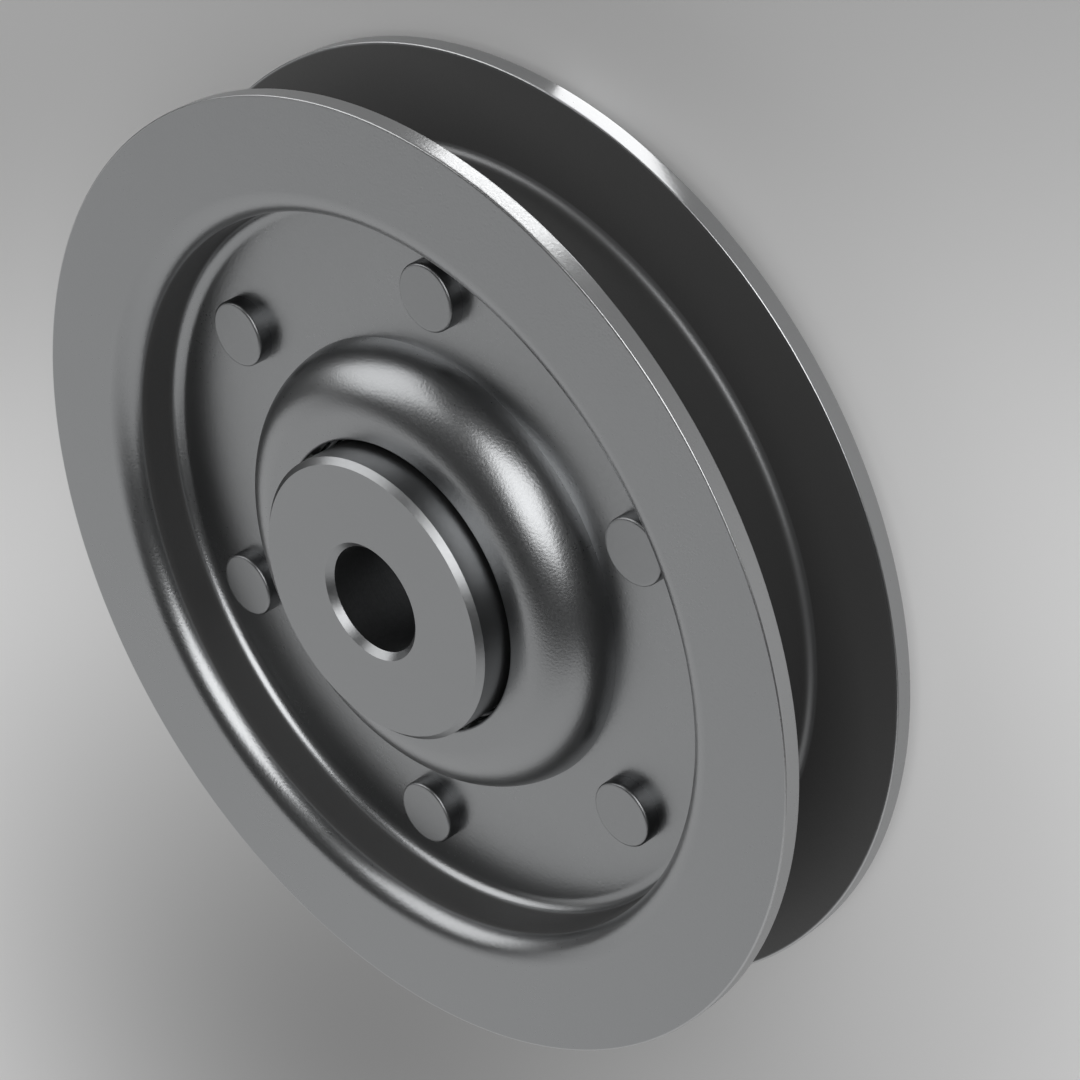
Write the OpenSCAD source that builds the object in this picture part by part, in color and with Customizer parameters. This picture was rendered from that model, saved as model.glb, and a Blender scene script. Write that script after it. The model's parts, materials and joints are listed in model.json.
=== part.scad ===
// Flat groove sheave: a pressed-steel wheel for a flat belt, turning on its own ball bearing.
// Two mirror-image pressings are riveted web to web. Their flanges make the groove, and the
// bosses in their middle clamp two hardened cups, whose balls run on the turned hub.
// Millimetres. The axis is Z, and the origin is at the middle of the bore, where the webs meet.

/* [Rim and groove] */
// Outside diameter over the flanges
rim_d = 85.4; // [80:0.1:95]
// Width over the outer faces of the two flanges
overall_w = 14.9; // [14.4:0.1:18]
// Diameter of the flat bottom of the groove
groove_d = 68; // [65:0.1:72]
// Rounding of each flange's outer edge
rim_edge_r = 0.15; // [0.1:0.05:0.5]

/* [Pressed sheet] */
// Thickness of the steel sheet
sheet_t = 1.6; // [1.4:0.1:1.8]
// Inside radius of the bend from flange to groove bottom
bend_r = 0.8; // [0.4:0.1:1.2]
// Inside radius of the corner where the groove's wall meets the web
foot_r = 1.2; // [0.6:0.1:1.6]
// Rounding of the corner under the foot of the boss, inside the joint
boss_under_r = 0.8; // [0.4:0.1:0.8]
// Rounding of the joint between the halves in the groove bottom
seam_r = 0.4; // [0.2:0.1:0.6]

/* [Bearing boss] */
// Rounding of the boss around the bearing
crown_r = 5.25; // [4.6:0.05:5.5]
// How far the top of the boss lies below the flange face
crown_drop = 1; // [0.6:0.05:1.3]
// Radial gap between the hub and the mouth of the boss
lip_gap = 0.4; // [0.25:0.05:0.8]
// Rounding of the mouth's outer edge
lip_edge_r = 0.25; // [0.1:0.05:0.4]

/* [Hub] */
// Diameter of the hub at its two ends
hub_d = 25.4; // [24:0.1:26]
// How far each end of the hub stands out of the flange face
hub_stand = 1.85; // [0.5:0.05:4]
// Chamfer on the hub's outer edges
hub_chamfer = 0.5; // [0.2:0.05:0.9]
// Diameter of the bore, for a 9.525 mm shaft or bolt
bore_d = 9.55; // [8:0.05:12.7]
// Chamfer at each mouth of the bore
bore_chamfer = 0.55; // [0.2:0.05:1]
// Corner rounding in the turned recess that holds the balls
recess_corner_r = 0.6; // [0.3:0.1:0.9]

/* [Ball bearing] */
// Number of balls, filling the race
ball_count = 12; // [11:1:12]
// Diameter of one ball
ball_d = 7.14; // [6.9:0.02:7.3]
// Gap between two neighbouring balls
ball_gap = 0.07; // [0.03:0.01:0.15]
// Radial clearance between a ball and each race
ball_play = 0.05; // [0.02:0.01:0.1]
// Radius of the race grooves over the radius of a ball
race_fit = 1.04; // [1.02:0.01:1.08]
// Depth of the groove turned into the hub
hub_race_depth = 1.4; // [1:0.1:1.8]
// Thickness of a cup at the bottom of its groove
cup_wall = 1.1; // [0.9:0.1:1.6]
// Step between the mouth of the boss and the cup behind it
cup_step = 0.6; // [0.3:0.1:0.9]
// Clearance of a cup in its boss
cup_clear = 0.02; // [0.01:0.01:0.05]
// Side clearance between the balls and the ends of the turned recess
ball_side = 0.8; // [0.5:0.1:1]

/* [Rivets] */
// Number of rivets
rivet_count = 6; // [3:1:8]
// Diameter of the circle on which the rivets sit
rivet_circle_d = 52.2; // [49:0.1:54]
// Diameter of a rivet's flat head
rivet_head_d = 5.9; // [4.5:0.1:7]
// Height of a rivet's head above the web
rivet_head_h = 1.35; // [0.8:0.05:2.5]
// Rounding of the head's edge
rivet_edge_r = 0.25; // [0.1:0.05:0.4]
// Diameter of a rivet's shank
rivet_shank_d = 3.2; // [2.5:0.1:4]
// Clearance of the shank in its hole
rivet_clear = 0.05; // [0.02:0.01:0.1]
// Angle of the first rivet from the X axis
rivet_phase = 30; // [0:1:60]

/* [Hidden] */
STEEL = [0.50, 0.50, 0.50];
HUB_STEEL = [0.54, 0.54, 0.54];
RACE_STEEL = [0.42, 0.42, 0.43];
BALL_STEEL = [0.72, 0.72, 0.73];
RIVET_STEEL = [0.46, 0.46, 0.46];
SIDES = 192;
ARC_SIDES = 96;
REACH = 200;

RIVET_NAMES = [for (i = [1 : rivet_count]) str("rivet_", i)];
BALL_NAMES = [for (i = [1 : ball_count]) str("ball_", i)];

rim_r = rim_d / 2;
face_z = overall_w / 2;
groove_r = groove_d / 2;
wall_r = groove_r - sheet_t;
flange_bend_r = bend_r + sheet_t;
bend_mid_r = wall_r + flange_bend_r;
bend_mid_z = face_z - flange_bend_r;
foot_bend_r = foot_r + sheet_t;

ball_r = ball_d / 2;
race_r = ball_r * race_fit;
pitch_r = (ball_d + ball_gap) / 2 / sin(180 / ball_count);
cup_groove_r = pitch_r + ball_r + ball_play;
cup_r = cup_groove_r + cup_wall;
boss_in_r = cup_r + cup_clear;
boss_r = boss_in_r + sheet_t;

hub_r = hub_d / 2;
hub_z = face_z + hub_stand;
bore_r = bore_d / 2;
hub_groove_r = pitch_r - ball_r - ball_play;
shoulder_r = hub_groove_r + hub_race_depth;
recess_z = ball_r + ball_side;

lip_r = hub_r + lip_gap;
cup_land_r = lip_r + cup_step;
crown_z = face_z - crown_drop - crown_r;
crown_mid_r = boss_r - crown_r;
crown_in_r = crown_r - sheet_t;

rivet_circle_r = rivet_circle_d / 2;

// Rectangle of the section between two radii and two heights
module block(r_in, r_out, z_low, z_high)
    translate([r_in, z_low]) square([r_out - r_in, z_high - z_low]);

// Round disc of the section
module dot(r, z, radius)
    translate([r, z]) circle(r = radius, $fn = ARC_SIDES);

// What rounding takes off a corner whose material lies on the side given by the two signs
module corner_waste(r, z, side_r, side_z, radius)
    difference() {
        translate([r, z]) square(2 * radius, center = true);
        dot(r + side_r * radius, z + side_z * radius, radius);
    }

// All that lies outside the groove's wall and under the flange, a given depth below their upper surface
module flange_outline(depth) {
    dot(bend_mid_r, bend_mid_z, flange_bend_r - depth);
    block(bend_mid_r, rim_r + sheet_t, -sheet_t, face_z - depth);
    block(wall_r + depth, rim_r + sheet_t, -sheet_t, bend_mid_z);
}

// Section of the flange, the bend and the wall, which is half of the groove bottom
module flange_section()
    difference() {
        intersection() {
            flange_outline(0);
            block(0, rim_r, 0, overall_w);
        }
        flange_outline(sheet_t);
        corner_waste(rim_r, face_z, -1, -1, rim_edge_r);
        corner_waste(rim_r, face_z - sheet_t, -1, 1, rim_edge_r);
        corner_waste(groove_r, 0, -1, 1, seam_r);
    }

// Section of the rounded corner between the wall and the web
module foot_section()
    difference() {
        block(wall_r - foot_r, (wall_r + groove_r) / 2, 0, foot_bend_r);
        dot(wall_r - foot_r, foot_bend_r, foot_r);
    }

// All that lies under the boss and the web, a given depth below their upper surface
module boss_outline(depth) {
    dot(crown_mid_r, crown_z, crown_r - depth);
    block(0, crown_mid_r, -sheet_t, crown_z + crown_r - depth);
    block(0, boss_r - depth, -sheet_t, crown_z);
    block(0, groove_r, -sheet_t, sheet_t - depth);
}

// Section of the web and of the boss that holds a cup, which ends at a mouth with a rounded edge
module boss_section()
    difference() {
        intersection() {
            boss_outline(0);
            block(lip_r, wall_r, 0, overall_w);
        }
        boss_outline(sheet_t);
        corner_waste(lip_r, crown_z + crown_r, 1, -1, lip_edge_r);
        corner_waste(boss_in_r, 0, 1, 1, boss_under_r);
    }

// Where the rivets go
module at_rivet(i)
    rotate([0, 0, rivet_phase + 360 / rivet_count * i]) translate([rivet_circle_r, 0, 0]) children();

// One pressed half on the +Z side of the joint
module pressed_half()
    difference() {
        rotate_extrude($fn = SIDES) {
            flange_section();
            foot_section();
            boss_section();
        }
        for (i = [0 : rivet_count - 1])
            at_rivet(i)
                translate([0, 0, -sheet_t])
                    cylinder(r = rivet_shank_d / 2 + rivet_clear, h = 3 * sheet_t, $fn = ARC_SIDES);
    }

module front_half()
    color(STEEL) pressed_half();

module rear_half()
    color(STEEL) mirror([0, 0, 1]) pressed_half();

// One hardened cup on the +Z side: a quarter groove for the balls, rounded to fill the boss
module cup()
    rotate_extrude($fn = SIDES)
        difference() {
            union() {
                block(cup_land_r, cup_r, 0, crown_z);
                block(cup_land_r, crown_mid_r, 0, crown_z + crown_in_r - cup_clear);
                intersection() {
                    dot(crown_mid_r, crown_z, crown_in_r - cup_clear);
                    block(cup_land_r, cup_r, 0, face_z);
                }
            }
            dot(cup_groove_r - race_r, 0, race_r);
        }

module front_cup()
    color(RACE_STEEL) cup();

module rear_cup()
    color(RACE_STEEL) mirror([0, 0, 1]) cup();

// Section of the recess turned into the hub, with rounded corners at its bottom
module hub_recess_section() {
    block(shoulder_r + recess_corner_r, REACH, -recess_z, recess_z);
    block(shoulder_r, REACH, recess_corner_r - recess_z, recess_z - recess_corner_r);
    dot(shoulder_r + recess_corner_r, recess_z - recess_corner_r, recess_corner_r);
    dot(shoulder_r + recess_corner_r, recess_corner_r - recess_z, recess_corner_r);
}

module inner_ring()
    color(HUB_STEEL)
        rotate_extrude($fn = SIDES)
            difference() {
                polygon([
                    [bore_r, bore_chamfer - hub_z],
                    [bore_r + bore_chamfer, -hub_z],
                    [hub_r - hub_chamfer, -hub_z],
                    [hub_r, hub_chamfer - hub_z],
                    [hub_r, hub_z - hub_chamfer],
                    [hub_r - hub_chamfer, hub_z],
                    [bore_r + bore_chamfer, hub_z],
                    [bore_r, hub_z - bore_chamfer]
                ]);
                hub_recess_section();
                dot(hub_groove_r + race_r, 0, race_r);
            }

module ball(i)
    color(BALL_STEEL)
        rotate([0, 0, 360 / ball_count * i]) translate([pitch_r, 0, 0]) sphere(r = ball_r, $fn = ARC_SIDES);

// Upper half of a rivet's outline, from the middle of the shank to the flat head
module rivet_section() {
    head_z = sheet_t + rivet_head_h;
    head_r = rivet_head_d / 2;
    block(0, rivet_shank_d / 2, 0, sheet_t);
    block(0, head_r, sheet_t, head_z - rivet_edge_r);
    block(0, head_r - rivet_edge_r, sheet_t, head_z);
    dot(head_r - rivet_edge_r, head_z - rivet_edge_r, rivet_edge_r);
}

module rivet(i)
    color(RIVET_STEEL)
        at_rivet(i)
            rotate_extrude($fn = ARC_SIDES) {
                rivet_section();
                mirror([0, 1]) rivet_section();
            }

inner_ring();
front_cup();
rear_cup();
front_half();
rear_half();
for (i = [0 : rivet_count - 1])
    rivet(i);
for (i = [0 : ball_count - 1])
    ball(i);
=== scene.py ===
# %% [markdown]
# # A flat groove sheave
# The object is a pressed-steel wheel for a flat belt. Two mirror-image pressings are riveted together,
# and they turn on a ball bearing around a plain turned hub. This lesson takes the measured CAD model as
# a fixed frame, and dresses it: smooth turned and pressed surfaces, real steel finishes and studio light.

# %% Load the measured frame
import json
import math

import bmesh
import bpy
from mathutils import Matrix, Quaternion, Vector

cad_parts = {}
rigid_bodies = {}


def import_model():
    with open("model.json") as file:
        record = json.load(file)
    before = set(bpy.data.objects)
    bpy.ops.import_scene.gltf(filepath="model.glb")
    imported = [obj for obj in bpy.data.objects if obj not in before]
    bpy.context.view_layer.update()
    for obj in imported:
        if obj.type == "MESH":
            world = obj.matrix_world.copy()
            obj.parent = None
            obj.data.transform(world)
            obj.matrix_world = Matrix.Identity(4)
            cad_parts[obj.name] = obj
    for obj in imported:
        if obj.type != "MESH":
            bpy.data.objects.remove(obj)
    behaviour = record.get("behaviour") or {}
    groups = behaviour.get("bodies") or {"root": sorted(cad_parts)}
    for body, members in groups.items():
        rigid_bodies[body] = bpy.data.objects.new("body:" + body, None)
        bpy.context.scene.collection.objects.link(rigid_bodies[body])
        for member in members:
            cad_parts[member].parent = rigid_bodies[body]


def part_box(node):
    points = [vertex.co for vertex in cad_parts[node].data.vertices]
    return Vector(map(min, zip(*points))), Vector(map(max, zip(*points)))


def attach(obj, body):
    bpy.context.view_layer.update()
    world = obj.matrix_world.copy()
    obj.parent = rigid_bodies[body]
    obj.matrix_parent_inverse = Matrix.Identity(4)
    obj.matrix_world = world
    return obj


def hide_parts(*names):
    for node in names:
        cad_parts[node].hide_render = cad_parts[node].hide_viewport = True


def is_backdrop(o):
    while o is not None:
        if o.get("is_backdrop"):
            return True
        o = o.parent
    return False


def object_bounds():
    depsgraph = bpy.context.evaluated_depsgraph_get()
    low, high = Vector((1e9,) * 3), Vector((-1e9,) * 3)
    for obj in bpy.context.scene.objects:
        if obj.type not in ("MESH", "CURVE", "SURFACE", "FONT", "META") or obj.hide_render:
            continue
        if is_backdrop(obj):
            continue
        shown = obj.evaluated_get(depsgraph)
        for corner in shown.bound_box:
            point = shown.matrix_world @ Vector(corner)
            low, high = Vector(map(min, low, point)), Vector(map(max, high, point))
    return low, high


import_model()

cad_low, cad_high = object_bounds()
scene = bpy.context.scene

# %% [markdown]
# ## Sizes
# The wheel has to fit its CAD model, so the sizes that the model fixes are read from the frame: the rim,
# the width, the hub and the cups. They could be typed in again, but then the two could drift apart. What
# only a section needs, such as the radius of a bend, is written once in that piece's own cell. All sizes
# of pieces are in millimetres, and MM turns them into Blender's metres when a mesh is made.

# %% Sizes from the frame
MM = 0.001


def size_of(node):
    """Largest radius and height above the middle plane of a CAD node, in millimetres."""
    low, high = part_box(node)
    return max(high.x, high.y) / MM, high.z / MM


RIM_R, FACE_Z = size_of("front_half")
HUB_R, HUB_Z = size_of("inner_ring")
CUP_R = size_of("front_cup")[0]
print(f"rim radius {RIM_R:.3f}, face at {FACE_Z:.3f}, hub radius {HUB_R:.3f}, hub end at {HUB_Z:.3f} mm")

# %% [markdown]
# ## Shader maths written as Python
# A finish is a small piece of arithmetic on the surface point: noise, rings, masks. Wiring that by hand
# takes pages of node calls. So one class wraps a shader socket and overloads the operators, and an
# expression such as `1 - mask * 0.5` adds its own Math nodes. Colours go through a Mix node instead,
# because a Math node would turn them grey.

# %% A socket that can be used in arithmetic
class Value:
    """A shader socket, with the graph that it belongs to."""

    def __init__(self, graph, socket):
        self.graph = graph
        self.socket = socket

    def math(self, operation, *others):
        """A Math node on this value and any others."""
        return self.graph.node("ShaderNodeMath", {"operation": operation}, [self, *others])

    def __add__(self, other):
        return self.math("ADD", other)

    def __sub__(self, other):
        return self.math("SUBTRACT", other)

    def __rsub__(self, other):
        return self.graph.node("ShaderNodeMath", {"operation": "SUBTRACT"}, [other, self])

    def __mul__(self, other):
        return self.math("MULTIPLY", other)

    __radd__ = __add__
    __rmul__ = __mul__

    def ramp(self, low, high):
        """0 below low, 1 above high, and a smooth step between them."""
        limits = {"Value": self, "From Min": low, "From Max": high}
        return self.graph.node("ShaderNodeMapRange", {"interpolation_type": "SMOOTHSTEP"}, limits)


def flat_length(across, along):
    """The length of a flat vector, from its two values."""
    return (across * across + along * along).math("SQRT")


print("operators on sockets:", [name for name in vars(Value) if name.endswith(("add__", "sub__", "mul__"))])

# %% The nodes of one material
# A Mix node has its sockets once for numbers, once for vectors and once for colours, under the same
# names, so the ones for colours are picked by their numbers.
MIX_FACTOR, MIX_LOW, MIX_HIGH, MIX_RESULT = 0, 6, 7, 2


class Graph:
    """The nodes of one material."""

    def __init__(self, name):
        self.material = bpy.data.materials.new(name)
        self.material.use_nodes = True
        self.tree = self.material.node_tree
        self.tree.nodes.clear()

    def node(self, kind, settings=None, inputs=(), output=0):
        """One node: its settings first, then the values or links of its sockets.

        It gives the output that is asked for, or a list of them all where output is None.
        """
        made = self.tree.nodes.new(kind)
        for name, value in (settings or {}).items():
            setattr(made, name, value)
        pairs = inputs.items() if isinstance(inputs, dict) else enumerate(inputs)
        for key, value in pairs:
            if isinstance(value, Value):
                self.tree.links.new(value.socket, made.inputs[key])
            else:
                made.inputs[key].default_value = value
        if output is None:
            return [Value(self, out) for out in made.outputs]
        return Value(self, made.outputs[output])

    def point(self):
        """The point on the surface, in metres in the object's own frame."""
        return self.node("ShaderNodeTexCoord", output="Object")

    def xyz(self):
        """The three coordinates of that point."""
        return self.node("ShaderNodeSeparateXYZ", {}, [self.point()], output=None)

    def noise(self, size, detail, where=None):
        """Noise from 0 to 1 whose features are about that many metres across."""
        inputs = {"Vector": where or self.point(), "Scale": 1 / size, "Detail": detail}
        return self.node("ShaderNodeTexNoise", {}, inputs, output="Fac")

    def mix(self, factor, low, high):
        """A colour between two colours."""
        inputs = {MIX_FACTOR: factor, MIX_LOW: low, MIX_HIGH: high}
        return self.node("ShaderNodeMix", {"data_type": "RGBA"}, inputs, output=MIX_RESULT)

    def bump(self, height, depth):
        """A normal for relief of that real depth in metres."""
        return self.node("ShaderNodeBump", {}, {"Height": height, "Distance": depth, "Strength": 1.0})

    def surface(self, **sockets):
        """Ends the material in a Principled shader. Its sockets are named in small letters."""
        inputs = {}
        for name, value in sockets.items():
            inputs[name.replace("_", " ").title().replace("Ior", "IOR")] = value
        shader = self.node("ShaderNodeBsdfPrincipled", {}, inputs)
        self.node("ShaderNodeOutputMaterial", {}, {"Surface": shader}, output=None)
        return self.material


def grey(value, tint=0.0):
    """A linear grey, a little towards blue where tint is above 0."""
    return (value * (1 - tint), value, value * (1 + tint), 1.0)


print("a middle grey:", grey(0.5))

# %% [markdown]
# ## The finish of bare steel
# The sheet is satin: it was rolled, pressed and tumbled, so its gloss is even and its highlights break
# up into a fine sparkle. That could come from a photographed texture, but one would have to be unwrapped
# on every bend. Noise in Object coordinates needs no unwrapping, has its real size everywhere and bakes
# cleanly. The sparkle is a bump a few tenths of a millimetre across, and the tone drifts a little over
# some millimetres. The hub was turned on a lathe, so rings about its axis are mixed into its sparkle.

# %% A steel in any tone
TINT = 0.018
TONE_DRIFT = 0.03
BROAD_SIZE, BROAD_SHARE = 0.011, 0.5
BLOTCH_SIZE, BLOTCH_SHARE = 0.0022, 0.2
GRAIN_SIZE, GRAIN_SHARE = 0.0003, 0.3
GRAIN_DEPTH = 0.000008
RING_SIZE = 0.00012
NOISE_MIDDLE = 0.5
ROUGH_GRAIN = 0.10
ROUGH_BROAD = 0.06
# Painted shade: a dark matt coat, with its own tone, roughness and metal, stands in for shade in hollows.
SHADE_COAT_TONE = 0.085
SHADE_COAT_ROUGHNESS = 0.55
SHADE_COAT_METAL = 0.35
# How much a painted shade mask darkens the colour.
PAINTED_SHADE_LOSS = 0.5
# How much the rim edge is lightened: a brighter cut edge with a painted sheen.
CUT_AND_SHEEN_GAIN = 0.17


def steel(name, tone, roughness, grain=GRAIN_SIZE, depth=GRAIN_DEPTH, rings=0.0, masks=None):
    """Bare steel: tone is its linear grey, grain and depth the size of its sparkle in metres.

    Masks takes the radius and the height above the middle plane, and gives three values from 0 to 1:
    where shade is painted on as a darker tone, where shade is painted on as a dark matt coat, and where the
    rim edge is lighter, as a brighter cut edge with a painted sheen.
    """
    g = Graph(name)
    x, y, z = g.xyz()
    radius = flat_length(x, y)
    fine = g.noise(grain, 1.5)
    broad = g.noise(BROAD_SIZE, 3.0)
    blotch = g.noise(BLOTCH_SIZE, 2.0)
    drift = broad * BROAD_SHARE + blotch * BLOTCH_SHARE + fine * GRAIN_SHARE
    colour = g.mix(drift, grey(tone * (1 - TONE_DRIFT), TINT), grey(tone * (1 + TONE_DRIFT), TINT))
    rough = roughness + (fine - NOISE_MIDDLE) * ROUGH_GRAIN + (broad - NOISE_MIDDLE) * ROUGH_BROAD
    metal = 1.0
    if masks:
        # Painted shade darkens the colour in hollows and on sides, and a painted sheen lightens the rim
        # edge.
        painted_shade, shade_coat, cut_and_sheen = masks(radius, z.math("ABSOLUTE"))
        colour = g.mix(shade_coat, colour, grey(SHADE_COAT_TONE))
        colour = g.mix(painted_shade * PAINTED_SHADE_LOSS, colour, grey(0.0))
        colour = g.mix(cut_and_sheen * CUT_AND_SHEEN_GAIN, colour, grey(1.0))
        rough = rough + shade_coat * (SHADE_COAT_ROUGHNESS - roughness)
        metal = 1 - shade_coat * (1 - SHADE_COAT_METAL)
    relief = fine
    if rings:
        turned = g.noise(RING_SIZE, 1.0, where=g.node("ShaderNodeCombineXYZ", {}, [radius, z, 0.0]))
        relief = fine * (1 - rings) + turned * rings
    return g.surface(base_color=colour, metallic=metal, roughness=rough, normal=g.bump(relief, depth))


print("steel is tinted by", TINT, "and drifts by", TONE_DRIFT)

# %% [markdown]
# ## Where the finish changes, and where shade is painted
# The groove and the upright wall of the recess get painted shade: a dark matt coat where shade falls in
# these hollows, and the wall is darkened further. In the corners of the groove the painted shade is halved,
# so that a reflected line of light shows there. The cut edge of the rim is lighter, partly as a brighter
# cut edge and partly as a painted sheen for its bright reflection. The sides of the hub and of the rivet
# heads get painted shade, darker than their ends and tops. Each could be a material of its own, with faces
# assigned to it, but then every change would be a hard line. The pressings and the hub are round about the
# Z axis, so masks on the radius and the height put the changes in place with soft edges. The rivets need
# the height alone.

# %% Masks by radius and height, in metres
# Painted shade lies on the recess wall and in the groove, and a painted sheen lies on the rim edge.
WALL_RADII = (0.0318, 0.0332)
WALL_HEIGHTS = (0.0025, 0.0056)
# Painted shade: the recess wall is darkened further.
WALL_PAINTED_SHADE = 0.4
GROOVE_RADII = (0.0337, 0.0424)
FLANGE_HEIGHTS = (0.0060, 0.0064)
CORNER_RADII = (0.0342, 0.0346)
# The painted shade in the groove's corner is halved, so that the reflected line of light there shows.
CORNER_SHADE_LIFT = 0.5
# The rim edge is lightened beyond these radii: a brighter cut edge with a painted sheen.
RIM_RADII = (0.0425, 0.0426)
HUB_SIDE_RADII = (0.01262, 0.01268)
# Painted shade on the side of the hub.
HUB_SIDE_PAINTED_SHADE = 0.1
# Painted shade on the side and lower edge of each rivet head, fading out between these heights.
RIVET_EDGE_HEIGHTS = (0.0028, 0.00295)


def between(value, limits, soft):
    """1 where a value lies between two limits, falling off over a soft edge outside them."""
    low, high = limits
    return value.ramp(low - soft, low) * (1 - value.ramp(high, high + soft))


def sheet_masks(radius, height):
    """Painted shade: a dark matt coat on the recess wall, darkened further, and in the groove up to the
    flange's own thickness, halved in the groove's corner; the rim edge is lighter, a brighter cut edge with
    a painted sheen.
    """
    # Painted shade: the dark coat on the wall and in the groove.
    wall = between(radius, WALL_RADII, 0.0001) * between(height, WALL_HEIGHTS, 0.0003)
    corner = between(radius, CORNER_RADII, 0.0002)
    groove = between(radius, GROOVE_RADII, 0.0002) * (1 - corner * CORNER_SHADE_LIFT)
    groove = groove * (1 - height.ramp(*FLANGE_HEIGHTS))
    return wall * WALL_PAINTED_SHADE, groove + wall, radius.ramp(*RIM_RADII)


def hub_masks(radius, height):
    """Painted shade: the side of the hub is a little darker than its ends."""
    return radius.ramp(*HUB_SIDE_RADII) * HUB_SIDE_PAINTED_SHADE, 0.0, 0.0


def rivet_masks(radius, height):
    """Painted shade: the side of a head is darker than its flat top."""
    return 1 - height.ramp(*RIVET_EDGE_HEIGHTS), 0.0, 0.0


PRESSED_STEEL = steel("pressed_steel_satin", 0.30, 0.30, grain=0.00022, depth=0.000012, masks=sheet_masks)
HUB_STEEL = steel("turned_steel_satin", 0.30, 0.32, rings=0.5, masks=hub_masks)
RIVET_STEEL = steel("rivet_steel_satin", 0.30, 0.36, masks=rivet_masks)
RACE_STEEL = steel("ground_race_steel", 0.40, 0.22)
BALL_STEEL = steel("polished_ball_steel", 0.62, 0.08, depth=0.0)
for finish in (PRESSED_STEEL, HUB_STEEL, RIVET_STEEL, RACE_STEEL, BALL_STEEL):
    print(f"{finish.name}: {len(finish.node_tree.nodes)} nodes")

# %% [markdown]
# ## Sections drawn as paths
# Everything on this wheel is round about one axis, so nearly every piece is a section swept round it. A
# section could be drawn as a curve by hand, but numbers keep it true to the CAD model. It is a closed path
# in radius and height, with arcs for its round corners. A straight run between two arcs gets a support
# point near each end, so that the smooth shading of a bend stays off the flat beside it.

# %% Paths of arcs and support points
ARC_STEP = 7.5
SUPPORT = 0.12
LONG_RUN = 5 * SUPPORT
SAME_POINT = 1e-6


def arc(r, z, radius, start, end, step=ARC_STEP):
    """Points of an arc about (r, z), with its angles in degrees."""
    count = max(3, math.ceil(abs(end - start) / step))
    angles = [math.radians(start + (end - start) * i / count) for i in range(count + 1)]
    return [(r + radius * math.cos(a), z + radius * math.sin(a)) for a in angles]


def closed_path(*runs):
    """Joins runs of points into one closed path, with support points on its long straights."""
    corners = [p for run in runs for p in run]
    path = []
    for here, after in zip(corners, corners[1:] + corners[:1]):
        length = math.dist(here, after)
        if length < SAME_POINT:
            continue
        path.append(here)
        if length > LONG_RUN:
            for share in (SUPPORT / length, 1 - SUPPORT / length):
                path.append(tuple(a + (b - a) * share for a, b in zip(here, after)))
    return path


print("an eighth of a turn at radius 1:", len(arc(0, 0, 1, 0, 45)), "points")

# %% [markdown]
# ## Geometry Nodes: a lathe
# Blender could spin these paths with the Screw modifier or with bmesh. A Geometry Nodes tree is used
# because its sizes stay named inputs, it sets the material too, and the same tree turns every closed
# path of this wheel. The path comes in as a ring of edges; Mesh to Curve makes it a profile, and Curve
# to Mesh sweeps it round a circle. The sweep measures the profile from the circle, so the path is drawn
# relative to that circle's radius.

# %% A small builder for geometry trees
class GeoTree:
    """A Geometry Nodes tree with named inputs, made node by node."""

    def __init__(self, name):
        self.tree = bpy.data.node_groups.new(name, "GeometryNodeTree")
        self.ids = {}
        self.tree.interface.new_socket("Geometry", in_out="OUTPUT", socket_type="NodeSocketGeometry")
        self.add_input("Geometry", "NodeSocketGeometry")
        self.start = self.tree.nodes.new("NodeGroupInput")
        self.end = self.tree.nodes.new("NodeGroupOutput")

    def add_input(self, name, kind):
        """A named input, whose identifier is kept for the modifier."""
        self.ids[name] = self.tree.interface.new_socket(name, in_out="INPUT", socket_type=kind).identifier

    def given(self, name):
        """The socket of a named input."""
        return next(out for out in self.start.outputs if out.identifier == self.ids[name])

    def node(self, kind, settings=None, inputs=(), output=0):
        """One node: its settings first, then the values or links of its sockets."""
        made = self.tree.nodes.new(kind)
        for key, value in (settings or {}).items():
            setattr(made, key, value)
        pairs = inputs.items() if isinstance(inputs, dict) else enumerate(inputs)
        for key, value in pairs:
            if isinstance(value, bpy.types.NodeSocket):
                self.tree.links.new(value, made.inputs[key])
            else:
                made.inputs[key].default_value = value
        return made.outputs[output]

    def finish(self, geometry):
        """Ends the tree in Realize Instances and Set Material."""
        plain = self.node("GeometryNodeRealizeInstances", {}, [geometry])
        inputs = {"Geometry": plain, "Material": self.given("Material")}
        dressed = self.node("GeometryNodeSetMaterial", {}, inputs)
        self.tree.links.new(dressed, self.end.inputs[0])


print("geometry tree builder ready")

# %% The lathe tree
def lathe_tree():
    """Sweeps a closed path round the axis."""
    geo = GeoTree("Lathe")
    geo.add_input("Sides", "NodeSocketInt")
    geo.add_input("Rail Radius", "NodeSocketFloat")
    geo.add_input("Material", "NodeSocketMaterial")
    profile = geo.node("GeometryNodeMeshToCurve", {}, [geo.given("Geometry")])
    rail = geo.node("GeometryNodeCurvePrimitiveCircle", {"mode": "RADIUS"},
                    {"Resolution": geo.given("Sides"), "Radius": geo.given("Rail Radius")})
    swept = geo.node("GeometryNodeCurveToMesh", {}, {"Curve": rail, "Profile Curve": profile})
    geo.finish(swept)
    return geo


LATHE = lathe_tree()
print("lathe inputs:", list(LATHE.ids))

# %% A tree's result as a plain mesh
MERGE = 1e-7
SHARP = math.radians(34)


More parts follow.
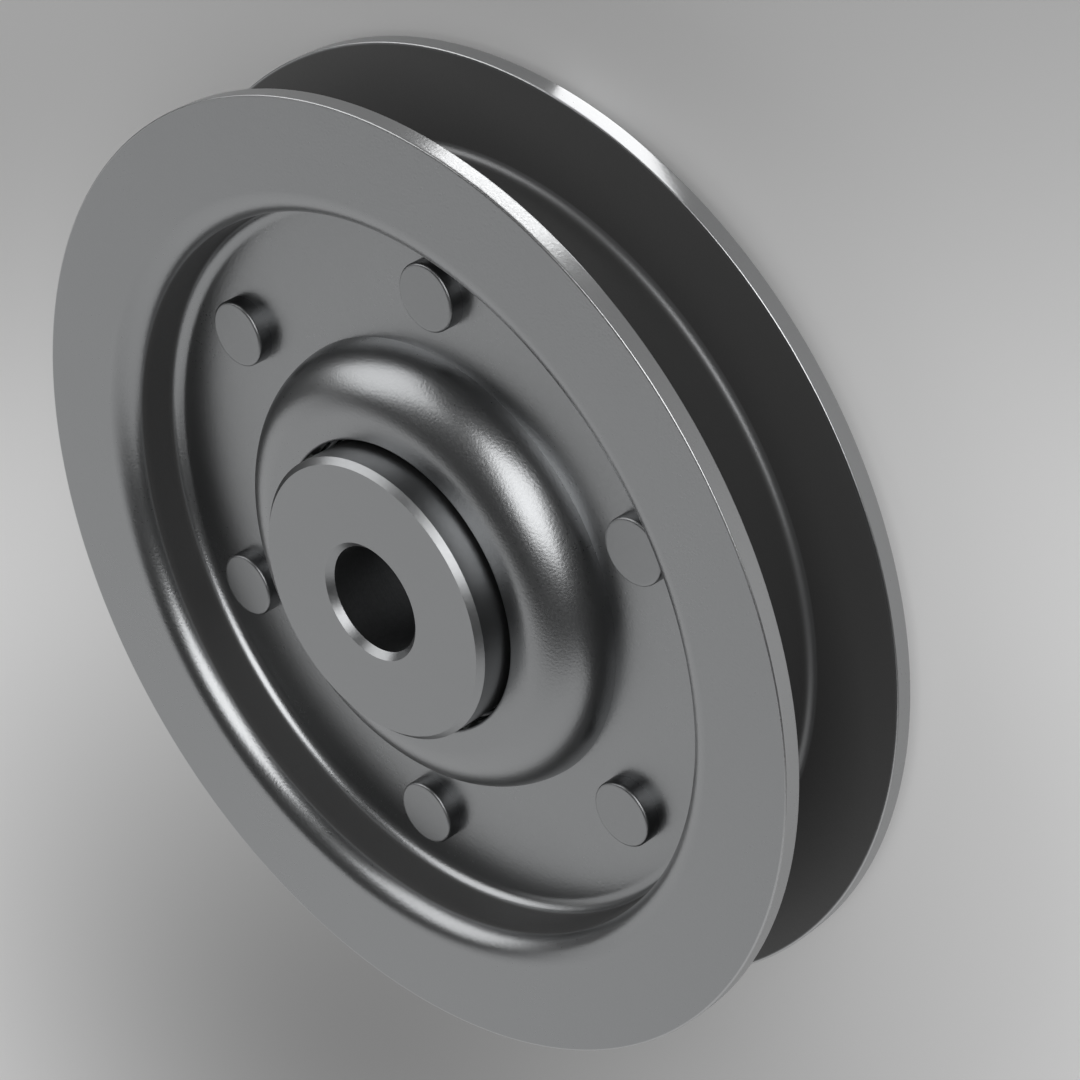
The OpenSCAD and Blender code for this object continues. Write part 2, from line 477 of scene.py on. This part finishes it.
def run_tree(geo, source, material, **inputs):
    """Runs a tree on a mesh with named inputs, and returns the result as a plain mesh.

    The source wears the material too, because Set Material adds to a mesh's slots, and would leave the
    first one empty.
    """
    source.materials.append(material)
    carrier = bpy.data.objects.new("carrier", source)
    scene.collection.objects.link(carrier)
    modifier = carrier.modifiers.new("tree", "NODES")
    modifier.node_group = geo.tree
    for name, value in {"material": material, **inputs}.items():
        modifier[geo.ids[name.replace("_", " ").title()]] = value
    carrier.update_tag()
    depsgraph = bpy.context.evaluated_depsgraph_get()
    made = bpy.data.meshes.new_from_object(carrier.evaluated_get(depsgraph))
    bpy.data.objects.remove(carrier)
    return made


def finish_mesh(mesh):
    """Merges doubles, turns the faces outwards and shades smooth up to the sharp edges.

    A merge leaves the faces in another order on each run, so they are sorted by their points.
    """
    bm = bmesh.new()
    bm.from_mesh(mesh)
    bmesh.ops.remove_doubles(bm, verts=bm.verts, dist=MERGE)
    bmesh.ops.recalc_face_normals(bm, faces=bm.faces)
    bm.verts.index_update()
    bm.faces.sort(key=lambda face: sum(point.index ** 2 for point in face.verts))
    bm.to_mesh(mesh)
    bm.free()
    mesh.shade_smooth()
    mesh.set_sharp_from_angle(angle=SHARP)
    return mesh


print(f"edges sharper than {math.degrees(SHARP):.0f} degrees stay crisp")

# %% A path turned on the lathe
SIDES = 256


def path_mesh(path, rail_r):
    """A ring of edges in the plane of the sweep, measured from the rail."""
    mesh = bpy.data.meshes.new("path")
    points = [((r - rail_r) * MM, -z * MM, 0.0) for r, z in path]
    count = len(points)
    mesh.from_pydata(points, [(i, (i + 1) % count) for i in range(count)], [])
    return mesh


def lathe(path, material, rail_r, sides=SIDES):
    """A closed path swept round the axis, as a smooth mesh with its faces outwards."""
    mesh = run_tree(LATHE, path_mesh(path, rail_r), material, sides=sides, rail_radius=rail_r * MM)
    return finish_mesh(mesh)


print("a full turn has", SIDES, "sides")

# %% [markdown]
# ## The pressed halves
# Each half of the wheel is one steel sheet. From the rim it runs in as the flange, turns down through a
# tight bend into the groove wall, turns in again as the flat web, and rises over the bearing as a boss
# with a round shoulder. One line with a Solidify modifier could make it, but not its own small radius on
# each edge, so the path walks once round both sides. In the bend of the flange and over the boss both
# sides share a centre, so the sheet keeps its thickness there.

# %% Section of a pressed half
SHEET = 1.6
GROOVE_R = 34.0
BEND_R = 0.8
FOOT_R = 1.2
UNDER_R = 0.8
SEAM_R = 0.4
RIM_EDGE_R = 0.15
CROWN_R = 5.25
CROWN_DROP = 1.0
LIP_GAP = 0.4
LIP_EDGE_R = 0.25
CUP_CLEAR = 0.02
WALL_R = GROOVE_R - SHEET
BOSS_IN_R = CUP_R + CUP_CLEAR
CROWN_TOP = FACE_Z - CROWN_DROP
CROWN_Z = CROWN_TOP - CROWN_R
CROWN_MID_R = BOSS_IN_R + SHEET - CROWN_R
LIP_R = HUB_R + LIP_GAP


def half_section():
    """Closed path of one half, on the upper side of the joint."""
    bend = (WALL_R + BEND_R + SHEET, FACE_Z - BEND_R - SHEET)
    foot = (WALL_R - FOOT_R, SHEET + FOOT_R)
    rim = RIM_R - RIM_EDGE_R
    crown_foot = math.degrees(math.asin((SHEET - CROWN_Z) / CROWN_R))
    return closed_path(
        arc(LIP_R + LIP_EDGE_R, CROWN_TOP - LIP_EDGE_R, LIP_EDGE_R, 180, 90, step=15),
        arc(CROWN_MID_R, CROWN_Z, CROWN_R, 90, crown_foot, step=3),
        arc(*foot, FOOT_R, 270, 360, step=6),
        arc(*bend, BEND_R + SHEET, 180, 90, step=4),
        arc(rim, FACE_Z - RIM_EDGE_R, RIM_EDGE_R, 90, 0, step=15),
        arc(rim, FACE_Z - SHEET + RIM_EDGE_R, RIM_EDGE_R, 0, -90, step=15),
        arc(*bend, BEND_R, 90, 180),
        arc(GROOVE_R - SEAM_R, SEAM_R, SEAM_R, 0, -90, step=15),
        arc(BOSS_IN_R + UNDER_R, UNDER_R, UNDER_R, 270, 180, step=15),
        arc(CROWN_MID_R, CROWN_Z, CROWN_R - SHEET, 0, 90, step=9),
        [(LIP_R, CROWN_TOP - SHEET)])


def mirrored(path):
    """The same section on the other side of the middle plane."""
    return [(r, -z) for r, z in path]


print("a pressed half's section has", len(half_section()), "points")

# %% Put the halves in the scene
def place(name, mesh, body, slot, *nodes):
    """Puts a finished mesh in the scene, on its body, in place of the CAD nodes that it stands for."""
    piece = bpy.data.objects.new(name, mesh)
    scene.collection.objects.link(piece)
    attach(piece, body)
    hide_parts(*nodes)
    spans = [[v.co[k] / MM for v in mesh.vertices] for k in range(3)]
    low, high = ([round(pick(span), 2) for span in spans] for pick in (min, max))
    print(f"{name}: {len(mesh.polygons)} faces, from {low} to {high} mm")


for side, path in (("front", half_section()), ("rear", mirrored(half_section()))):
    place(f"{side}_pressing", lathe(path, PRESSED_STEEL, RIM_R), "sheave", "pressed_steel", f"{side}_half")

# %% [markdown]
# ## The hub
# The hub is turned from bar: a chamfered bore, chamfered ends, and a deep recess in its waist with the
# ball groove at the bottom. A cylinder with a Boolean and a Bevel could make it, but leaves ragged edges
# where they meet. It is a turned piece, so it is the same lathe with another path. Only its ends, the
# start of its side and the bore show.

# %% The turned hub
BORE_R = 4.775
BORE_CHAMFER = 0.55
HUB_CHAMFER = 0.5
RECESS_Z = 4.37
RECESS_CORNER_R = 0.6
SHOULDER_R = 11.709
BALL_R = 3.57
BALL_PLAY = 0.05
RACE_R = 3.713
PITCH_R = 13.929


def hub_section():
    """Closed path of the hub."""
    groove_mid = PITCH_R - BALL_R - BALL_PLAY + RACE_R
    groove_z = math.sqrt(RACE_R ** 2 - (groove_mid - SHOULDER_R) ** 2)
    groove_angle = math.degrees(math.atan2(groove_z, SHOULDER_R - groove_mid))
    corner_r = SHOULDER_R + RECESS_CORNER_R
    corner_z = RECESS_Z - RECESS_CORNER_R
    return closed_path(
        [(BORE_R, BORE_CHAMFER - HUB_Z), (BORE_R + BORE_CHAMFER, -HUB_Z)],
        [(HUB_R - HUB_CHAMFER, -HUB_Z), (HUB_R, HUB_CHAMFER - HUB_Z), (HUB_R, -RECESS_Z)],
        arc(corner_r, -corner_z, RECESS_CORNER_R, 270, 180, step=15),
        arc(groove_mid, 0, RACE_R, -groove_angle + 360, groove_angle, step=6),
        arc(corner_r, corner_z, RECESS_CORNER_R, 180, 90, step=15),
        [(HUB_R, RECESS_Z), (HUB_R, HUB_Z - HUB_CHAMFER), (HUB_R - HUB_CHAMFER, HUB_Z)],
        [(BORE_R + BORE_CHAMFER, HUB_Z), (BORE_R, HUB_Z - BORE_CHAMFER)])


place("turned_hub", lathe(hub_section(), HUB_STEEL, HUB_R, sides=192), "hub", "hub_steel", "inner_ring")

# %% [markdown]
# ## The bearing inside
# Two hardened cups make the outer race, and twelve balls fill it with no cage. They are nearly hidden: a
# glint shows through the gap at the mouth of the boss. The cups are turned too, so they come off the
# lathe. The balls could be placed one by one or with an Array modifier round an empty, but a second tree
# that sets copies of one shape on points round the axis does it in one step, and serves the rivets too.

# %% The cups
CUP_STEP = 0.6


def cup_section():
    """Closed path of a cup on the upper side: a quarter groove inside, rounded outside."""
    land_r = LIP_R + CUP_STEP
    groove_mid = PITCH_R + BALL_R + BALL_PLAY - RACE_R
    groove_end = math.degrees(math.acos((land_r - groove_mid) / RACE_R))
    round_r = CROWN_R - SHEET - CUP_CLEAR
    return closed_path(
        arc(groove_mid, 0, RACE_R, 0, groove_end, step=6),
        [(land_r, CROWN_Z + round_r)],
        arc(CROWN_MID_R, CROWN_Z, round_r, 90, 0, step=8),
        [(CUP_R, 0)])


for side, path in (("front", cup_section()), ("rear", mirrored(cup_section()))):
    cup = lathe(path, RACE_STEEL, CUP_R, sides=128)
    place(f"{side}_race_cup", cup, "sheave", "race_steel", f"{side}_cup")

# %% The tree that sets copies round the axis
def ring_points(geo, count, radius, phase):
    """Points evenly round the axis, in the plane z = 0, and the angle of each."""
    index = geo.node("GeometryNodeInputIndex")
    share = geo.node("ShaderNodeMath", {"operation": "DIVIDE"}, [index, count])
    turn = geo.node("ShaderNodeMath", {"operation": "MULTIPLY_ADD"}, [share, math.tau, phase])
    spin = geo.node("ShaderNodeCombineXYZ", {}, [0.0, 0.0, turn])
    arm = geo.node("ShaderNodeCombineXYZ", {}, [radius, 0.0, 0.0])
    swung = geo.node("ShaderNodeVectorRotate", {"rotation_type": "EULER_XYZ"},
                     {"Vector": arm, "Rotation": spin})
    points = geo.node("GeometryNodePoints", {}, {"Count": count, "Position": swung})
    return points, spin


def copies_tree():
    """Copies of a shape evenly round the axis."""
    geo = GeoTree("Copies round the axis")
    geo.add_input("Count", "NodeSocketInt")
    geo.add_input("Circle Radius", "NodeSocketFloat")
    geo.add_input("Phase", "NodeSocketFloat")
    geo.add_input("Material", "NodeSocketMaterial")
    points, spin = ring_points(geo, geo.given("Count"), geo.given("Circle Radius"), geo.given("Phase"))
    turned = geo.node("FunctionNodeEulerToRotation", {}, [spin])
    copies = geo.node("GeometryNodeInstanceOnPoints", {},
                      {"Points": points, "Instance": geo.given("Geometry"), "Rotation": turned})
    geo.finish(copies)
    return geo


COPIES = copies_tree()
print("copies inputs:", list(COPIES.ids))

# %% The balls
BALL_COUNT = 12
BALL_SUBDIVISIONS = 4


def ball_mesh():
    """One ball, as a fine sphere at the origin."""
    bm = bmesh.new()
    bmesh.ops.create_icosphere(bm, subdivisions=BALL_SUBDIVISIONS, radius=BALL_R * MM)
    mesh = bpy.data.meshes.new("ball")
    bm.to_mesh(mesh)
    bm.free()
    return mesh


balls = run_tree(COPIES, ball_mesh(), BALL_STEEL, count=BALL_COUNT, circle_radius=PITCH_R * MM, phase=0.0)
balls.shade_smooth()
place("race_balls", balls, "balls", "ball_steel", *[f"ball_{i + 1}" for i in range(BALL_COUNT)])

# %% [markdown]
# ## The rivets
# Six flat-headed rivets hold the webs together. A cylinder would have a hard edge round its head, and
# the edge of a real one is rounded. So a rivet is spun from a path like the rest, but this path starts
# and ends on its own axis, where the lathe would leave open poles. Here bmesh spins it and the poles are
# merged, and then the copies tree sets it round the wheel.

# %% Rivets round the web
RIVET_COUNT = 6
RIVET_CIRCLE_R = 26.1
RIVET_HEAD_R = 2.95
RIVET_HEAD_H = 1.35
RIVET_EDGE_R = 0.25
RIVET_SHANK_R = 1.6
RIVET_PHASE = 30
RIVET_SIDES = 72


def rivet_path():
    """Open path of a rivet, from the middle of one head to the middle of the other."""
    top = SHEET + RIVET_HEAD_H
    flat_r = RIVET_HEAD_R - RIVET_EDGE_R
    upper = [(0, top), (flat_r - SUPPORT, top)]
    upper += arc(flat_r, top - RIVET_EDGE_R, RIVET_EDGE_R, 90, 0, step=15)
    upper += [(RIVET_HEAD_R, SHEET + SUPPORT), (RIVET_HEAD_R, SHEET), (RIVET_SHANK_R, SHEET)]
    return upper + [(r, -z) for r, z in reversed(upper)]


def rivet_mesh():
    """One rivet about the Z axis."""
    bm = bmesh.new()
    path = [bm.verts.new((r * MM, 0.0, z * MM)) for r, z in rivet_path()]
    edges = [bm.edges.new(pair) for pair in zip(path, path[1:])]
    bmesh.ops.spin(bm, geom=path + edges, axis=(0, 0, 1), cent=(0, 0, 0), angle=math.tau,
                   steps=RIVET_SIDES, use_merge=True)
    mesh = bpy.data.meshes.new("rivet")
    bm.to_mesh(mesh)
    bm.free()
    return finish_mesh(mesh)


rivets = run_tree(COPIES, rivet_mesh(), RIVET_STEEL, count=RIVET_COUNT, circle_radius=RIVET_CIRCLE_R * MM,
                  phase=math.radians(RIVET_PHASE))
place("web_rivets", rivets, "sheave", "rivet_steel", *[f"rivet_{i + 1}" for i in range(RIVET_COUNT)])

# %% [markdown]
# ## The floor
# The wheel lies on the end of its hub, on a plain pale floor. In the photograph the floor is darker at the
# top, and a soft shade lies on it at the lower left. More lamps could paint that, but they would change
# the steel as well. So the floor's own material does it, by place on the floor: a tone that the lamps
# light, and a glow that only the eye and the steel see. Two lines of numbers turn a place on the floor
# into shares of the picture, from its left edge and from its top.

# %% Floor
FLOOR_SIZE = 6.0
FLOOR_TONE = 0.40
FLOOR_ROUGHNESS = 0.7
FLOOR_GLOSS = 0.2
GLOW_TOP = 0.074
GLOW_LOW = 0.33
GLOW_FULL_AT = 0.6
ACROSS = (7.56, -0.04, 0.52)
DOWN = (4.36, -8.58, 0.455)
SHADE_AT = (0.37, 1.0)
SHADE_REACH = 0.8
SHADE_DEPTH = 0.66


def floor_material():
    """Pale, with less glow at the top of the picture and one soft shade near its lower left."""
    g = Graph("pale_floor")
    x, y, _ = g.xyz()
    across, down = (x * share[0] + y * share[1] + share[2] for share in (ACROSS, DOWN))
    away = flat_length(across - SHADE_AT[0], down - SHADE_AT[1])
    shade = 1 - SHADE_DEPTH * (1 - away.ramp(0, SHADE_REACH))
    glow = (GLOW_TOP + down.ramp(0, GLOW_FULL_AT) * (GLOW_LOW - GLOW_TOP)) * shade
    seen = g.node("ShaderNodeLightPath", output="Is Camera Ray")
    for kind in ("Glossy", "Transmission"):
        seen = seen.math("MAXIMUM", g.node("ShaderNodeLightPath", output=f"Is {kind} Ray"))
    black, white = grey(0.0), grey(1.0)
    return g.surface(base_color=g.mix(shade * FLOOR_TONE, black, white), roughness=FLOOR_ROUGHNESS,
                     specular_ior_level=FLOOR_GLOSS, emission_color=g.mix(glow * seen, black, white),
                     emission_strength=1.0)


def floor():
    """A wide square under the end of the hub."""
    mesh = bpy.data.meshes.new("studio_floor")
    half = FLOOR_SIZE / 2
    corners = [(-half, -half), (half, -half), (half, half), (-half, half)]
    mesh.from_pydata([(*corner, -HUB_Z * MM) for corner in corners], [], [(0, 1, 2, 3)])
    mesh.materials.append(floor_material())
    piece = bpy.data.objects.new("studio_floor", mesh)
    scene.collection.objects.link(piece)
    piece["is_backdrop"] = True


floor()
print(f"floor {FLOOR_SIZE} m wide, {HUB_Z:.2f} mm below the middle plane")

# %% [markdown]
# ## The camera
# In the photograph the wheel seems to stand on its rim. Here it lies on its hub, as in its CAD frame, and
# standing it up would move its pieces out of that frame. So the camera takes the photograph's viewing
# angle, and is then rolled about its own line of sight until the wheel stands in the picture as it does
# there. Both were worked out beforehand, from the ellipses that the round edges make in the picture.

# %% Camera
CAMERA_AT = Vector((154.39, 154.14, 155.35)) * MM
CAMERA_AIM = Vector((10.26, 6.73, 0.08)) * MM
CAMERA_ROLL = math.radians(-120.285)
CAMERA_LENS = 106.9
SENSOR_WIDTH = 36.0
CLIP_START = 0.01


def camera():
    """The camera, turned about its line of sight by the roll. Gives the direction back to it."""
    back = (CAMERA_AT - CAMERA_AIM).normalized()
    upright = (Vector((0, 0, 1)) - back * back.z).normalized()
    side = upright.cross(back)
    up = upright * math.cos(CAMERA_ROLL) - side * math.sin(CAMERA_ROLL)
    right = up.cross(back)
    data = bpy.data.cameras.new("camera")
    data.lens = CAMERA_LENS
    data.sensor_width = SENSOR_WIDTH
    data.clip_start = CLIP_START
    eye = bpy.data.objects.new("camera", data)
    scene.collection.objects.link(eye)
    turn = [[right[k], up[k], back[k]] for k in range(3)]
    eye.rotation_mode = "QUATERNION"
    eye.rotation_quaternion = Matrix(turn).to_quaternion()
    eye.location = CAMERA_AT
    scene.camera = eye
    return back


print(f"camera looks down at {math.degrees(math.asin(camera().z)):.1f} degrees")

# %% [markdown]
# ## Studio light
# Bare metal shows little but what it mirrors, so the light is a set of things to mirror. A ready-made
# picture of a studio round the scene could serve, but a few panels are easier to aim, and need no file.
# One wide panel fills the flat faces, and two smaller, brighter ones give the boss and the bends their
# highlights. The edge of each rim mirrors a low place beside it, so two small cards lie just over the
# floor there, facing up. The rest of the room is dim, which keeps the recess and the gaps dark.

# %% Lamps that look like panels and cards
PANEL_DISTANCE = 1.5
CARD_LIFT = 0.5


def light(name, at, turn, width, height, level):
    """An area light out of the camera's sight. Level is its brightness, where 1 is white."""
    data = bpy.data.lights.new(name, "AREA")
    data.shape = "RECTANGLE"
    data.size = width
    data.size_y = height
    data.energy = level * math.pi * width * height
    lamp = bpy.data.objects.new(name, data)
    scene.collection.objects.link(lamp)
    lamp.location = at
    lamp.rotation_mode = "QUATERNION"
    lamp.rotation_quaternion = turn
    lamp.visible_camera = False


def soft_panel(name, azimuth, elevation, wide, high, level, tilt=0):
    """A soft panel that faces the wheel.

    All but its level is in degrees: where it stands, how wide and high it looks, and its tilt in its plane.
    """
    a, e = math.radians(azimuth), math.radians(elevation)
    direction = Vector((math.cos(e) * math.cos(a), math.cos(e) * math.sin(a), math.sin(e)))
    width, height = (2 * PANEL_DISTANCE * math.tan(math.radians(angle / 2)) for angle in (wide, high))
    turn = direction.to_track_quat("Z", "Y") @ Quaternion((0, 0, 1), math.radians(tilt))
    light(name, direction * PANEL_DISTANCE, turn, width, height, level)


def rim_card(name, at, turn, width, length, level):
    """A bright card low over the floor beside the rim, facing up. Its place and size are in millimetres."""
    facing_up = Quaternion((1, 0, 0), math.pi)
    lying = Quaternion((0, 0, 1), math.radians(turn)) @ facing_up
    light(name, Vector((*at, CARD_LIFT - HUB_Z)) * MM, lying, width * MM, length * MM, level)


print(f"panels stand {PANEL_DISTANCE} m away, cards lie {CARD_LIFT} mm over the floor")

# %% The light of this picture
WORLD_LEVEL = 0.07


def world():
    """An even dim room."""
    surroundings = bpy.data.worlds.new("studio")
    surroundings.use_nodes = True
    background = surroundings.node_tree.nodes["Background"]
    background.inputs["Color"].default_value = grey(WORLD_LEVEL)
    background.inputs["Strength"].default_value = 1.0
    scene.world = surroundings


world()
soft_panel("face_panel", -100, 30, 120, 60, 0.68)
soft_panel("key_panel", 51, 43, 46, 40, 3.1, tilt=-40)
soft_panel("side_panel", 147, 29, 44, 36, 2.0)
rim_card("near_card", (10.5, 45), 12, 15, 8, 2.0)
rim_card("far_card", (4.5, 57.5), 0, 24, 8, 3.4)
scene.view_settings.view_transform = "Standard"

# %% [markdown]
# ## Sizes at the end
# The size of the dressed wheel is printed beside the size of the frame, so the two can be compared.

# %% Sizes
look_low, look_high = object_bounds()
sizes = {"cad": [list(cad_low), list(cad_high)], "visual": [list(look_low), list(look_high)]}
for kind, box in sizes.items():
    print(f"{kind} box, mm:", [[round(v / MM, 2) for v in corner] for corner in box])
